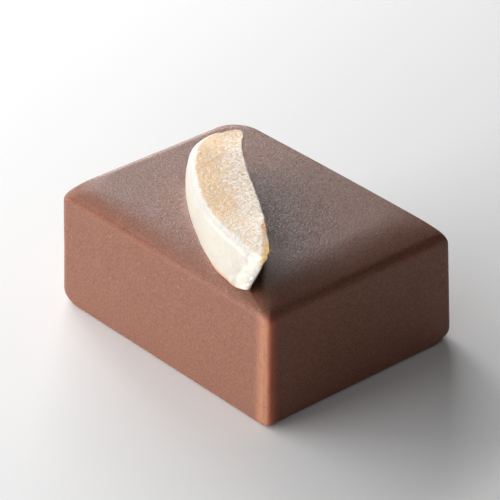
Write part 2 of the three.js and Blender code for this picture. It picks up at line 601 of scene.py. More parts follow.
@dataclass(frozen=True)
class FloorFinish:
    """Plain pale floor."""

    base: Triple = (0.86, 0.86, 0.86)
    roughness: float = 0.6

    def material(self) -> Material:
        """Builds the material.

        Returns:
            A material of one pale colour with a faint unevenness.
        """
        sheet = NodeSheet("pale_floor")
        faint = sheet.noise(sheet.places((1.0, 1.0, 1.0)), 0.02)
        darker = tuple(0.98 * each for each in self.base)
        sheet.drive(Socket.COLOR, sheet.mix(faint, self.base, darker))
        sheet.set(Socket.ROUGHNESS, self.roughness)
        return sheet.material


# ---------------------------------------------------------------- almond piece


@dataclass
class Sections:
    """Cross-sections of the almond piece, in millimetres.

    The stations are (stations, 1). The others are (stations, around): the station that each place
    really stands at, its offset and its height.
    """

    station: np.ndarray
    along: np.ndarray
    offset: np.ndarray
    height: np.ndarray

    @property
    def points(self) -> np.ndarray:
        """Array (stations, around, 3) of places to read noise at."""
        return np.stack([self.along, self.offset, self.height], axis=-1)


@dataclass
class Zones:
    """Where each place of the sections lies, as arrays (stations, around) of numbers from 0 to 1.

    `above_cut` and `on_cut` are masks, `rim_share` runs over the rim, `face` fades in over the rim's
    upper half, and `inward` runs across the flat face from its rim to its cut edge.
    """

    above_cut: np.ndarray
    on_cut: np.ndarray
    rim_share: np.ndarray
    face: np.ndarray
    inward: np.ndarray


@dataclass
class AlmondPiece:
    """A split almond half cut lengthwise, flat face up, lying slantwise over the chocolate's top.

    Stations run along it from the blunt back end to the nose, offsets from the straight cut side out
    to the rounded skin side, and heights up from the chocolate's level top. All in millimetres. A
    field that ends in _stretch holds the two stations between which something sets in or fades. Each
    of the brown patches has its station, its spread and its strength.
    """

    top: float
    at: Pair = (1.1, -1.6)
    turn: float = math.radians(-35.5)
    back: float = -9.42
    nose: float = 14.34
    thickness: float = 4.2
    back_loss: float = 0.5
    nose_loss: float = 0.45
    heel_start: float = -4.0
    nose_start: float = 8.0
    rim_width: float = 5.16
    rim_middle: float = 1.0
    rim_front: Triple = (13.6, 2.2, 1.09)
    foot_width: float = 5.35
    foot_middle: float = -0.8
    foot_front: Triple = (17.45, 1.705, 0.634)
    back_power: float = 2.7
    rim_round: float = 0.85
    edge_round: float = 0.14
    bulge: float = 0.333
    bulge_lift: float = 1.3
    cut_start: float = 0.05
    cut_drift: float = -0.727
    drift_stretch: Pair = (-3.0, 8.5)
    cut_return: float = 0.3
    return_start: float = 13.3
    hook: float = 0.447
    hook_length: float = 1.5
    cut_splay: float = 0.231
    nose_splay: float = 1.303
    nose_splay_stretch: Pair = (9.0, 14.6)
    heel_splay: float = 0.9
    heel_splay_stretch: Pair = (-5.0, -9.0)
    nose_overhang: float = 1.187
    nose_length: float = 0.57
    back_overhang: float = 0.4
    back_overhang_start: float = -6.0
    back_length: float = 0.75
    back_spine: float = 0.35
    heel_lift: float = 0.9
    sunk: float = 0.16
    front_lean: float = 0.075
    lean_stretch: Pair = (7.0, 11.0)
    fibre_depth: float = 0.02
    face_pits: float = 0.01
    face_swell: float = 0.03
    skin_pits: float = 0.012
    skin_swell: float = 0.05
    lump_depth: float = 0.14
    lump_stretch: Pair = (10.5, 13.4)
    notch_depth: float = 0.25
    notch_offset: float = 1.65
    notch_width: float = 0.3
    face_fade: float = 1.7
    toast_stretch: Pair = (11.0, 7.0)
    back_toast: float = 0.55
    back_toast_stretch: Pair = (-5.0, -7.5)
    front_stretch: Pair = (2.0, 11.0)
    brown_patches: tuple[Triple, ...] = ((9.7, 0.9, 0.9), (11.4, 1.2, 0.6))
    yellow_stretch: Pair = (11.9, 12.9)
    foot_brown: float = 0.6
    foot_band: Pair = (0.16, 0.03)
    pits: tuple[Layer, ...] = (Layer(1.0, (0.3, 0.3, 0.3), 5),)
    broad: tuple[Layer, ...] = (Layer(1.0, (3.0, 2.2, 2.0), 6),)
    broken: tuple[Layer, ...] = (Layer(1.0, (1.0, 1.0, 1.0), 7), Layer(0.5, (0.45, 0.45, 0.45), 8))
    chips: tuple[Layer, ...] = (Layer(0.08, (1.1, 9.0, 9.0), 9), Layer(0.04, (0.45, 9.0, 9.0), 10))
    stations: int = 320
    steps: dict[str, int] = field(
        default_factory=lambda: {"skin": 34, "rim": 16, "face": 66, "edge": 5, "cut": 22, "base": 12}
    )

    def skin_side(self, station: np.ndarray, width: float, middle: float, front: Triple) -> np.ndarray:
        """Offset of the rounded side.

        Behind the middle it is a superellipse, width * (1 - x^p)^(1/p), and in front of it
        width * (1 - x^a)^b, with x the share of the length from the middle to that end.

        Args:
            station: Places along the piece.
            width: Greatest offset.
            middle: Station of the greatest offset.
            front: Front length and the powers a and b.

        Returns:
            Array of offsets.
        """
        length, power, nose_power = front
        behind = np.clip((middle - station) / (middle - self.back), 0.0, 1.0)
        ahead = np.clip((station - middle) / length, 0.0, 1.0)
        blunt = (1.0 - behind**self.back_power) ** (1.0 / self.back_power)
        narrow = (1.0 - ahead**power) ** nose_power
        return width * np.where(station < middle, blunt, narrow)

    def rim_offset(self, station: np.ndarray) -> np.ndarray:
        """Offset of the flat face's rounded rim."""
        return self.skin_side(station, self.rim_width, self.rim_middle, self.rim_front)

    def foot_offset(self, station: np.ndarray) -> np.ndarray:
        """Offset of the skin side where it meets the chocolate."""
        return self.skin_side(station, self.foot_width, self.foot_middle, self.foot_front)

    def cut_offset(self, station: np.ndarray) -> np.ndarray:
        """Offset of the cut side's upper edge: nearly straight, with a small hook at the back.

        Args:
            station: Places along the piece.

        Returns:
            Array of offsets.
        """
        hook_end = self.back + self.hook_length
        hook = self.hook * np.where(station < hook_end, 1.0, bump(station, hook_end, 1.0))
        drift = self.cut_drift * smooth_step(*self.drift_stretch, station)
        at_nose = self.cut_return * smooth_step(self.return_start, self.nose, station)
        return self.cut_start + drift + at_nose - hook

    def cut_foot_offset(self, station: np.ndarray) -> np.ndarray:
        """Offset of the cut side's lower edge, which is cut away towards the nose and at the heel.

        Args:
            station: Places along the piece.

        Returns:
            Array of offsets.
        """
        at_nose = self.nose_splay * smooth_step(*self.nose_splay_stretch, station)
        at_heel = self.heel_splay * smooth_step(*self.heel_splay_stretch, station)
        return self.cut_offset(station) + self.cut_splay + at_nose + at_heel

    def height(self, station: np.ndarray) -> np.ndarray:
        """Height of the flat face over the chocolate's top, a little less at both ends.

        Args:
            station: Places along the piece.

        Returns:
            Array of heights.
        """
        at_back = self.back_loss * smooth_step(self.heel_start, self.back, station)
        at_nose = self.nose_loss * smooth_step(self.nose_start, self.nose + 1.0, station)
        return self.thickness - at_back - at_nose

    def floor(self, station: np.ndarray) -> np.ndarray:
        """Height of the underside: a little sunk in the chocolate, and lifted at the heel."""
        lift = self.heel_lift + self.sunk
        return lift * smooth_step(self.heel_start, self.back, station) - self.sunk

    def rise(self, station: np.ndarray, height: np.ndarray) -> np.ndarray:
        """Share of the full height, held between 0 and 1."""
        return np.clip(height / self.height(station), 0.0, 1.0)

    def skin_offset(self, station: np.ndarray, height: np.ndarray) -> np.ndarray:
        """Offset of the skin side at a height: a blend from foot to rim plus a sine bulge.

        Args:
            station: Array (stations, 1).
            height: Heights over the chocolate's top.

        Returns:
            Array of offsets.
        """
        rise = self.rise(station, height)
        share = rise**self.bulge_lift
        blend = self.foot_offset(station) * (1.0 - share) + self.rim_offset(station) * share
        return blend + self.bulge * np.sin(np.pi * rise)

    def cut_side_offset(self, station: np.ndarray, height: np.ndarray) -> np.ndarray:
        """Offset of the cut side at a height: a straight line from its upper to its lower edge."""
        upper, lower = self.cut_offset(station), self.cut_foot_offset(station)
        return upper + (lower - upper) * (1.0 - self.rise(station, height))

    def close_ends(self, station: np.ndarray, offset: np.ndarray, height: np.ndarray) -> np.ndarray:
        """Draws both ends together.

        Over the last stretch every offset comes nearer to a spine: by sqrt(1 - x^2.4) at the back,
        where the spine runs inside the piece, and by sqrt(1 - x²) at the nose. There it runs along
        the cut side, so that the nose is rounded on its skin side alone.

        Args:
            station: Array (stations, 1).
            offset: Offsets of the open sections.
            height: Heights of the open sections.

        Returns:
            Offsets of the closed sections.
        """
        at_back = np.clip(1.0 - (station - self.back) / self.back_length, 0.0, 1.0)
        at_nose = np.clip(1.0 - (self.nose - station) / self.nose_length, 0.0, 1.0)
        offset = self.back_spine + (offset - self.back_spine) * np.sqrt(1.0 - at_back**2.4)
        spine = self.cut_side_offset(station, height)
        return spine + (offset - spine) * np.sqrt(1.0 - at_nose**2)

    def lean(self, station: np.ndarray, height: np.ndarray) -> np.ndarray:
        """How far each place moves along the piece, as the nose and the back are drawn in below.

        Args:
            station: Places along the piece.
            height: Heights over the chocolate's top.

        Returns:
            Array of moves along the piece, positive towards the nose.
        """
        at_nose = self.nose_overhang * smooth_step(self.nose_start, self.nose, station)
        at_back = self.back_overhang * smooth_step(self.back_overhang_start, self.back, station)
        return (1.0 - self.rise(station, height)) * (at_back - at_nose)

    def place(self, along: np.ndarray, offset: np.ndarray, height: np.ndarray) -> np.ndarray:
        """Turns stations, offsets and heights into the model's frame.

        Args:
            along: Stations.
            offset: Offsets towards the skin side.
            height: Heights over the chocolate's top.

        Returns:
            Array (..., 3) in millimetres.
        """
        cosine, sine = math.cos(self.turn), math.sin(self.turn)
        x = self.at[0] + along * cosine + offset * sine
        y = self.at[1] + along * sine - offset * cosine
        return np.stack([x, y, self.top + height + 0.0 * x], axis=-1)

    def outline_on_chocolate(self) -> np.ndarray:
        """Outline of the foot, for the rim of coating that creeps up round it.

        Returns:
            Array (n, 2) in millimetres, from the back along the skin side and round by the cut side.
        """
        station = np.linspace(-5.0, self.nose, 90)
        level = 0.0 * station
        along = station + self.lean(station, level)
        skin = self.close_ends(station, self.foot_offset(station), level)
        cut = self.close_ends(station, self.cut_foot_offset(station), level)
        sides = (self.place(along, skin, level), self.place(along, cut, level)[::-1])
        return np.vstack(sides)[:, :2]

    def smooth_sections(self) -> Sections:
        """Cross-sections from the nose to the back, closer together near both ends.

        Each section runs up the skin side, over the quarter-round rim, across the flat face, over the
        small edge, down the cut side and back along the underside.

        Returns:
            The sections before their relief.
        """
        share = 0.5 - 0.5 * np.cos(np.linspace(0.03, np.pi - 0.03, self.stations))
        share = 0.35 * share + 0.65 * np.linspace(0.001, 0.999, self.stations)
        station = (self.nose + (self.back - self.nose) * share)[:, None]
        height, floor = self.height(station), self.floor(station)
        rim_start = height - self.rim_round

        def run(name: str) -> np.ndarray:
            """Shares from 0 up to but not including 1 along one stretch of the section."""
            return np.linspace(0.0, 1.0, self.steps[name], endpoint=False)[None, :]

        skin_height = floor + (rim_start - floor) * run("skin")
        skin = self.skin_offset(station, skin_height)
        rim_turn = run("rim") * np.pi / 2
        rim_base = self.skin_offset(station, rim_start)
        rim = rim_base - self.rim_round * (1.0 - np.cos(rim_turn))
        rim_height = rim_start + self.rim_round * np.sin(rim_turn)
        face_start = rim_base - self.rim_round
        face_end = self.cut_offset(station) + self.edge_round
        face = face_start + (face_end - face_start) * run("face")
        edge_turn = run("edge") * np.pi / 2
        edge = face_end - self.edge_round * np.sin(edge_turn)
        edge_height = height - self.edge_round * (1.0 - np.cos(edge_turn))
        side_height = height - self.edge_round + (floor - height + self.edge_round) * run("cut")
        side = self.cut_side_offset(station, side_height)
        foot_cut = self.cut_foot_offset(station)
        base = foot_cut + (skin[:, :1] - foot_cut) * run("base")
        offsets = np.concatenate([skin, rim, face, edge, side, base], axis=1)
        level_face, level_base = height + 0.0 * face, floor + 0.0 * base
        heights = [skin_height, rim_height, level_face, edge_height, side_height, level_base]
        heights = np.concatenate(heights, axis=1)
        along = station + self.lean(station, heights)
        return Sections(station, along, self.close_ends(station, offsets, heights), heights)

    def zones(self, smooth: Sections) -> Zones:
        """Works out where each place lies.

        Args:
            smooth: Sections before their relief.

        Returns:
            Masks and shares.
        """
        skin_end, _, _, edge_end, cut_end, _ = np.cumsum(list(self.steps.values()))
        index = np.arange(sum(self.steps.values()))[None, :] + 0 * smooth.station
        above_cut = index < edge_end
        on_cut = ~above_cut & (index < cut_end)
        rim_share = np.clip((index - skin_end) / self.steps["rim"], 0.0, 1.0)
        face = above_cut * np.clip(2.0 * rim_share - 1.0, 0.0, 1.0) ** self.face_fade
        rim = self.rim_offset(smooth.station)
        width = np.maximum(rim - self.cut_offset(smooth.station), 0.5)
        inward = np.clip((rim - smooth.offset) / width, 0.0, 1.0)
        return Zones(above_cut.astype(float), on_cut.astype(float), rim_share, face, inward)

    def noises(self, smooth: Sections) -> tuple[np.ndarray, np.ndarray, np.ndarray]:
        """Fine, wide and lumpy noise over the smooth sections, each an array (stations, around)."""
        return tuple(layered(smooth.points, each) for each in (self.pits, self.broad, self.broken))

    def fibres(self, points: np.ndarray) -> np.ndarray:
        """Swirled ridges across the flat face, a coarse and a fine set of 1 - |noise|.

        Args:
            points: Array (..., 3) of station, offset and height.

        Returns:
            Array (...) of numbers from 0 to 1.5.
        """
        swirl = np.stack([value_noise(points, (0.7, 0.7, 0.7), seed) for seed in (20, 21, 22)], axis=-1)
        swirled = points + 0.35 * swirl
        coarse = 1.0 - np.abs(value_noise(swirled, (0.26, 0.6, 0.6), 3))
        return coarse + 0.5 * (1.0 - np.abs(value_noise(swirled, (0.15, 0.3, 0.3), 4)))

    def roughen(self, smooth: Sections, zones: Zones) -> Sections:
        """Adds the relief of a real nut: fibres, pits, lumps, a frayed cut edge and a notched back.

        Args:
            smooth: Sections before their relief.
            zones: Where each place lies.

        Returns:
            The sections with their relief.
        """
        pits, broad, broken = self.noises(smooth)
        rise = smooth.height / self.thickness
        fibres = self.fibre_depth * (self.fibres(smooth.points) - 0.75) * (0.3 + 0.7 * zones.inward)
        height = smooth.height + zones.face * (fibres + self.face_pits * pits + self.face_swell * broad)
        lean = self.front_lean * smooth_step(*self.lean_stretch, smooth.station)
        from_rim = np.clip(self.rim_offset(smooth.station) - smooth.offset, 0.0, None)
        height = height + lean * smooth_step(0.5, 1.0, rise) * from_rim

        lumps = self.lump_depth * smooth_step(*self.lump_stretch, smooth.along) * broken
        outwards = (1.0 - zones.face) * (1.0 - 2.0 * zones.on_cut)
        offset = smooth.offset + outwards * (self.skin_swell * broad + self.skin_pits * pits + lumps)
        frayed = layered(smooth.points, self.chips) * smooth_step(0.75, 1.0, zones.inward)
        offset = offset - frayed * smooth_step(0.3, 1.0, rise)
        notch = self.notch_depth * bump(offset, self.notch_offset, self.notch_width)
        notch = notch * smooth_step(self.back + 1.2, self.back, smooth.station)
        along = smooth.along + notch * smooth_step(0.4, 0.9, rise)
        return Sections(smooth.station, along, offset, height)

    def finish_marks(self, smooth: Sections, rough: Sections, zones: Zones) -> dict[str, np.ndarray]:
        """Where each finish shows.

        The flat face is toasted on its skin half and at the back. The nose is fresh broken flesh, and
        brown and yellow patches of skin are left beside the cut's upper edge.

        Args:
            smooth: Sections before their relief.
            rough: Sections with their relief.
            zones: Where each place lies.

        Returns:
            Arrays (stations, around) by attribute name.
        """
        pits, broad, broken = self.noises(smooth)
        rise = smooth.height / self.thickness
        rim = smooth_step(0.0, 0.35, zones.rim_share)
        rim = rim * smooth_step(1.0, 0.78, zones.rim_share + 0.15 * pits)
        toast = smooth_step(0.75, 0.30, zones.inward + 0.12 * broad)
        toast = toast * smooth_step(*self.toast_stretch, rough.along)
        back_toast = self.back_toast * smooth_step(*self.back_toast_stretch, rough.along + broad)
        from_nose = smooth.station - self.nose + 0.1 * broken
        tip, face_tip = smooth_step(-0.80, -0.10, from_nose), smooth_step(-1.5, -0.3, from_nose)
        by_cut = self.by_cut(rough, rise, pits) * (1.0 - zones.on_cut * smooth_step(0.95, 0.55, rise))
        patches = (dark * bump(rough.along, middle, spread) for middle, spread, dark in self.brown_patches)
        return {
            "face": zones.face,
            "rim": zones.above_cut * rim,
            "toast": zones.face * np.maximum(toast, back_toast),
            "front": smooth_step(*self.front_stretch, rough.along + broad),
            "nose": np.maximum(tip, zones.face * face_tip) * (1.0 - zones.on_cut),
            "foot": self.foot_brown * smooth_step(*self.foot_band, rough.height),
            "brown": by_cut * np.minimum(sum(patches), 0.9),
            "yellow": by_cut * smooth_step(*self.yellow_stretch, rough.along),
        }

    def by_cut(self, rough: Sections, rise: np.ndarray, pits: np.ndarray) -> np.ndarray:
        """Mask of the uneven band beside the cut's upper edge, which is wider towards the nose.

        Args:
            rough: Sections with their relief.
            rise: Heights as a share of the thickness.
            pits: Fine noise that frays the band.

        Returns:
            Array (stations, around) of numbers from 0 to 1.
        """
        wider = 0.35 * smooth_step(8.2, 9.6, rough.station) + 0.2 * smooth_step(11.8, 13.0, rough.station)
        band = 0.15 + wider + 0.1 * pits
        beside = smooth_step(1.15, 0.75, (rough.offset - self.cut_offset(rough.station)) / band)
        return beside * smooth_step(0.35, 0.55, rise)

    def rows(self) -> tuple[np.ndarray, dict[str, np.ndarray]]:
        """Finished cross-sections, with a pole in the middle of the first and of the last.

        Returns:
            Array (stations, around, 3) in millimetres, and the point attributes.
        """
        smooth = self.smooth_sections()
        zones = self.zones(smooth)
        rough = self.roughen(smooth, zones)
        marks = self.finish_marks(smooth, rough, zones)
        rows = self.place(rough.along, rough.offset, rough.height)
        poles = rows[[0, -1]].mean(axis=1, keepdims=True) + 0.0 * rows[[0, -1]]
        marks = {name: np.concatenate([each[:1], each, each[-1:]]) for name, each in marks.items()}
        return np.concatenate([poles[:1], rows, poles[1:]]), marks

    def build(self) -> Object:
        """Makes and dresses the piece.

        Returns:
            The piece, which stands for the plain solid of the same place.
        """
        rows, marks = self.rows()
        piece = closed_grid("almond", rows, marks)
        piece.data.materials.append(AlmondFinish().material(self.turn))
        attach(piece, "root")
        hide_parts("almond_piece")
        return piece


# ---------------------------------------------------------------- coated block


@dataclass(frozen=True)
class Side:
    """One side of the block, in millimetres.

    Its wall leans in by `lean` at the full height. Above the crease the shoulder runs in by `width` and
    climbs by `drop`, as drop * (1 - s)^power below the level top, with s from 0 at the crease to 1.
    The crease itself is rounded off over `bend` down the wall and in along the shoulder.
    """

    lean: float
    width: float
    drop: float
    power: float
    bend: float


@dataclass
class CoatedBlock:
    """The coated block: lightly leaning walls, a crease, a soft shoulder and a slightly crowned top.

    The sides come in the order of the outward directions +X, +Y, -X and -Y, and the corner radii in
    the order of Corner. Sizes are in millimetres, and the pole is the place in the top's middle part
    where its rings shrink to a point.
    """

    low: np.ndarray
    high: np.ndarray
    almond: AlmondPiece
    sides: tuple[Side, Side, Side, Side] = (
        Side(0.15, 5.4, 0.92, 2.1, 0.85),
        Side(0.60, 1.9, 1.00, 2.2, 1.20),
        Side(0.28, 1.8, 1.00, 2.1, 0.70),
        Side(0.20, 3.0, 0.95, 2.0, 0.50),
    )
    corner_radius: tuple[float, float, float, float] = (0.9, 2.5, 1.5, 0.45)
    foot_radius: tuple[float, float, float, float] = (1.2, 1.2, 1.2, 0.3)
    foot_reach: Pair = (3.2, 0.4)
    top_radius: float = 3.2
    base_round: float = 0.3
    crown: float = 0.12
    groove_depth: float = 0.06
    groove_rise: float = 0.20
    groove_width: float = 0.12
    bead: float = 0.06
    dark_side_bead: float = 0.22
    scuff_reach: Pair = (1.9, 0.3)
    # Strength of the painted red shade on the south shoulder.
    shoulder_red_shade: float = 0.10
    creep: float = 0.18
    creep_reach: float = 0.25
    creep_depth: float = 0.9
    waves: tuple[Layer, ...] = (Layer(0.022, (7.0, 7.0, 5.0), 11), Layer(0.007, (1.9, 1.9, 1.9), 12))
    wrinkles: tuple[Layer, ...] = (Layer(0.03, (0.5, 0.5, 0.3), 13),)
    rubbing: tuple[Layer, ...] = (Layer(0.05, (0.6, 0.6, 0.8), 14), Layer(0.025, (0.28, 0.28, 0.35), 15))
    corner_steps: int = 26
    wall_steps: tuple[int, int] = (86, 108)
    level_steps: dict[str, int] = field(
        default_factory=lambda: {"base": 7, "wall": 52, "crease": 18, "shoulder": 30, "top": 58}
    )
    pole: Pair = (2.5, -5.0)

    @property
    def top(self) -> float:
        """Height of the level top over the base."""
        return self.high[2] - self.low[2]

    def outline(self) -> tuple[np.ndarray, np.ndarray, np.ndarray, np.ndarray]:
        """Samples round the block, anticlockwise from the east end of the north-east corner.

        Returns:
            For each sample the corner it leaves, the corner it nears, the angle of its outward
            direction, and its share of the straight run between the two.
        """
        leave, near, angle, share = [], [], [], []
        for corner in Corner:
            index = corner.value // 90
            turn = math.radians(corner.value) + np.linspace(0.0, np.pi / 2, self.corner_steps)
            run = np.linspace(0.0, 1.0, self.wall_steps[1 - index % 2] + 1)[1:-1]
            leave.append(np.full(len(turn) + len(run), index))
            near.append(np.concatenate([np.full(len(turn), index), np.full(len(run), (index + 1) % 4)]))
            angle.append(np.concatenate([turn, np.full(len(run), turn[-1])]))
            share.append(np.concatenate([np.zeros(len(turn)), run]))
        return tuple(np.concatenate(each) for each in (leave, near, angle, share))

    def around(self, angle: np.ndarray, measure: str) -> np.ndarray:
        """A measure of the sides, blended smoothly round each corner.

        Args:
            angle: Outward angle of each sample.
            measure: Name of a field of Side.

        Returns:
            Array of the measure for each sample.
        """
        quarter = angle / (np.pi / 2)
        index = np.floor(quarter).astype(int) % 4
        blend = smooth_step(0.0, 1.0, quarter - np.floor(quarter))
        values = np.array([getattr(side, measure) for side in self.sides])
        return values[index] * (1.0 - blend) + values[(index + 1) % 4] * blend

    def levels(self, angle: np.ndarray) -> tuple[np.ndarray, np.ndarray, np.ndarray]:
        """Profile from the base to the edge of the level top, for each sample round the block.

        The base edge is a quarter circle. The crease is a quadratic Bezier curve from the wall to the
        shoulder.

        Args:
            angle: Outward angle of each sample.

        Returns:
            Arrays (levels, around) of height, of inset at the base edge and of the share of the
            shoulder.
        """
        drop, power, round_off = (self.around(angle, each) for each in ("drop", "power", "bend"))
        turn = np.linspace(0.0, np.pi / 2, self.level_steps["base"])[:, None]
        wall = np.linspace(0.0, 1.0, self.level_steps["wall"] + 1)[1:-1, None]
        bend = np.linspace(0.0, 1.0, self.level_steps["crease"])[:, None]
        first_share = round_off / self.around(angle, "width")
        climb = np.linspace(0.0, 1.0, self.level_steps["shoulder"])[1:, None]
        climb = first_share + (1.0 - first_share) * climb
        crease = self.top - drop
        wall_top = crease - round_off
        after = self.top - drop * (1.0 - first_share) ** power
        heights = [
            self.base_round * (1.0 - np.cos(turn)) + 0.0 * drop,
            self.base_round + (wall_top - self.base_round) * wall,
            (1 - bend) ** 2 * wall_top + 2 * bend * (1 - bend) * crease + bend**2 * after,
            self.top - drop * np.clip(1.0 - climb, 0.0, 1.0) ** power,
        ]
        insets = [self.base_round * (1.0 - np.sin(turn)) + 0.0 * drop]
        insets += [0.0 * each for each in heights[1:]]
        shares = [0.0 * heights[0], 0.0 * heights[1], first_share * bend**2, climb]
        return tuple(np.concatenate(each) for each in (heights, insets, shares))

    def smooth_rows(self) -> tuple[np.ndarray, np.ndarray, np.ndarray]:
        """The block before its unevenness.

        A ring is a rectangle with four round corners: on a corner it is the arc's centre plus the
        radius along the outward direction, and between two corners the straight line that joins them.

        Returns:
            Array (levels, around, 3) in millimetres, the outward angle of each sample, and the share
            of the shoulder (levels, around).
        """
        leave, near, angle, run = self.outline()
        height, inset, share = self.levels(angle)
        rise = np.clip(height - self.base_round, 0.0, None) / (self.top - self.base_round)
        half = (self.high - self.low)[:2] / 2
        reach = np.stack(
            [
                half[index % 2] - inset - side.lean * rise - side.width * share
                for index, side in enumerate(self.sides)
            ]
        )
        outward = np.stack([np.cos(angle), np.sin(angle)], axis=-1)
        signs = np.array([(1, 1), (-1, 1), (-1, -1), (1, -1)])
        ends = []
        for corner in (leave, near):
            radius = np.array(self.corner_radius)[corner]
            radius = radius + (self.top_radius - radius) * share
            sign = signs[corner]
            side_x = np.where(sign[:, 0] > 0, 0, 2)
            side_y = np.where(sign[:, 1] > 0, 1, 3)
            sample = np.arange(len(corner))
            x = sign[:, 0] * (reach[side_x, :, sample].T - radius)
            y = sign[:, 1] * (reach[side_y, :, sample].T - radius)
            ends.append(np.stack([x, y], axis=-1) + radius[..., None] * outward)
        plan = ends[0] + (ends[1] - ends[0]) * run[None, :, None]
        return np.concatenate([plan, height[..., None]], axis=-1), angle, share

    def uneven(self, rows: np.ndarray, angle: np.ndarray, share: np.ndarray) -> np.ndarray:
        """Unevenness of the hand-dipped coating, along the smooth surface's outward direction.

        Args:
            rows: Smooth rings up to the edge of the level top.
            angle: Outward angle of each sample.
            share: Share of the shoulder at each level.

        Returns:
            The rings with waves, a groove above the crease, wrinkles on the south side's left part
            and a rough bead down the near corner.
        """
        tilt = smooth_step(0.0, 0.35, share) * np.pi / 2
        sideways = np.cos(tilt)
        outward = np.stack([sideways * np.cos(angle), sideways * np.sin(angle), np.sin(tilt)], axis=-1)
        over_crease = rows[..., 2] - self.top + self.around(angle, "drop")
        south = self.south(angle) * smooth_step(8.0, -4.0, rows[..., 0])
        groove = self.groove_depth * bump(over_crease, self.groove_rise, self.groove_width)
        groove = groove * (0.1 + 0.9 * south)
        wrinkled = bump(rows[..., 0], -7.0, 3.0) * bump(over_crease, 0.3, 0.4) * south
        dark_side = smooth_step(math.radians(290.0), math.radians(350.0), angle)
        bead = self.bead + self.dark_side_bead * dark_side + layered(rows, self.rubbing)
        free = smooth_step(0.02, 0.9, rows[..., 2]) * smooth_step(1.0, 0.8, share)
        push = layered(rows, self.waves) * free - groove + layered(rows, self.wrinkles) * wrinkled
        push = (push + self.near_corner(rows) * bead) * smooth_step(0.0, 0.3, rows[..., 2])
        return rows + (push - self.foot_inset(rows))[..., None] * outward

    def foot_inset(self, rows: np.ndarray) -> np.ndarray:
        """How far the coating is drawn in under the upright corners.

        The inset is r * (1 - sqrt(1 - (1 - z / r)²)), a quarter circle of radius r. That radius is the
        corner's own beside the corner and fades to nothing along the walls.

        Args:
            rows: Smooth rings, with heights from the base.

        Returns:
            Array (levels, around) of insets in millimetres.
        """
        half = (self.high - self.low)[:2] / 2
        inset = np.zeros(rows.shape[:2])
        for corner, radius in zip(Corner, self.foot_radius):
            turn = math.radians(corner.value) + np.pi / 4
            place = half * np.sign([math.cos(turn), math.sin(turn)])
            away = np.linalg.norm(rows[..., :2] - place, axis=-1)
            local_radius = np.maximum(radius * smooth_step(*self.foot_reach, away), 1e-3)
            below = np.clip(1.0 - rows[..., 2] / local_radius, 0.0, 1.0)
            inset += local_radius * (1.0 - np.sqrt(1.0 - below**2))
        return inset

    def south(self, angle: np.ndarray) -> np.ndarray:
        """Mask of the south side, by the outward angle."""
        return smooth_step(0.6, 1.0, -np.sin(angle))

    def near_corner(self, rows: np.ndarray) -> np.ndarray:
        """Mask of the near upright corner, where the coating is rubbed and where a highlight and red shade
        are painted.

        Args:
            rows: Smooth rings, with heights from the base.

        Returns:
            Array (levels, around) of numbers from 0 to 1.
        """
        away = np.linalg.norm(rows[..., :2] - np.array([self.high[0], self.low[1]]), axis=-1)
        height = rows[..., 2]
        ends = smooth_step(self.top - 0.35, self.top - 1.2, height) * smooth_step(0.0, 0.5, height)
        return smooth_step(*self.scuff_reach, away) * ends

    def rows(self) -> tuple[np.ndarray, dict[str, np.ndarray]]:
        """All rings with a pole under the base and one in the level top, hidden by the almond.

        The top's crown lowers each place by crown * (2x / length)².

        Returns:
            Array (levels, around, 3) in millimetres, and the point attributes.
        """
        smooth, angle, share = self.smooth_rows()
        walls = self.uneven(smooth, angle, share)
        pole = np.array([*self.pole, smooth[-1, 0, 2]])
        inward = np.linspace(0.0, 1.0, self.level_steps["top"] + 1)[1:, None, None]
        top = walls[-1] + (pole - walls[-1]) * inward
        rows = np.concatenate([0.0 * walls[:1], walls, top])
        across = 2.0 * rows[..., 0] / (self.high[0] - self.low[0])
        rows[..., 2] -= self.crown * across**2 * smooth_step(pole[2] - 2.0, pole[2] - 0.2, rows[..., 2])
        rows = self.with_meniscus(rows)
        rows[..., 2] += self.low[2]
        marks = {}
        for name, values in self.finish_marks(smooth, angle, share).items():
            marks[name] = np.zeros(rows.shape[:2])
            marks[name][1 : 1 + len(walls)] = values
        return rows, marks

    def finish_marks(self, rows: np.ndarray, angle: np.ndarray, share: np.ndarray) -> dict[str, np.ndarray]:
        """Where each finish shows, from the base to the edge of the level top.

        The near corner is scuffed tan on its lit half, partly real wear and partly a painted highlight,
        and has painted red shade on its dark half. The shoulder is more matt, and on the south side it
        has a little painted red shade and is less matt to the right.

        Args:
            rows: Smooth rings.
            angle: Outward angle of each sample.
            share: Share of the shoulder at each level.

        Returns:
            Arrays (levels, around) by attribute name.
        """
        corner, south = self.near_corner(rows), self.south(angle)
        lit_half = smooth_step(math.radians(350.0), math.radians(320.0), angle)
        shoulder = smooth_step(0.0, 0.02, share) * smooth_step(0.8, 0.1, share)
        shoulder = shoulder * (1.0 - 0.7 * south * smooth_step(-8.0, 10.0, rows[..., 0]))
        # Painted red shade on the near corner's dark half and, weaker, on the south shoulder.
        painted_red_shade = np.maximum(corner * (1.0 - lit_half), self.shoulder_red_shade * shoulder * south)
        # The scuff on the lit half is partly real wear and partly a painted highlight.
        return {"scuff_and_highlight": corner * lit_half, "painted_red_shade": painted_red_shade, "shoulder": shoulder}

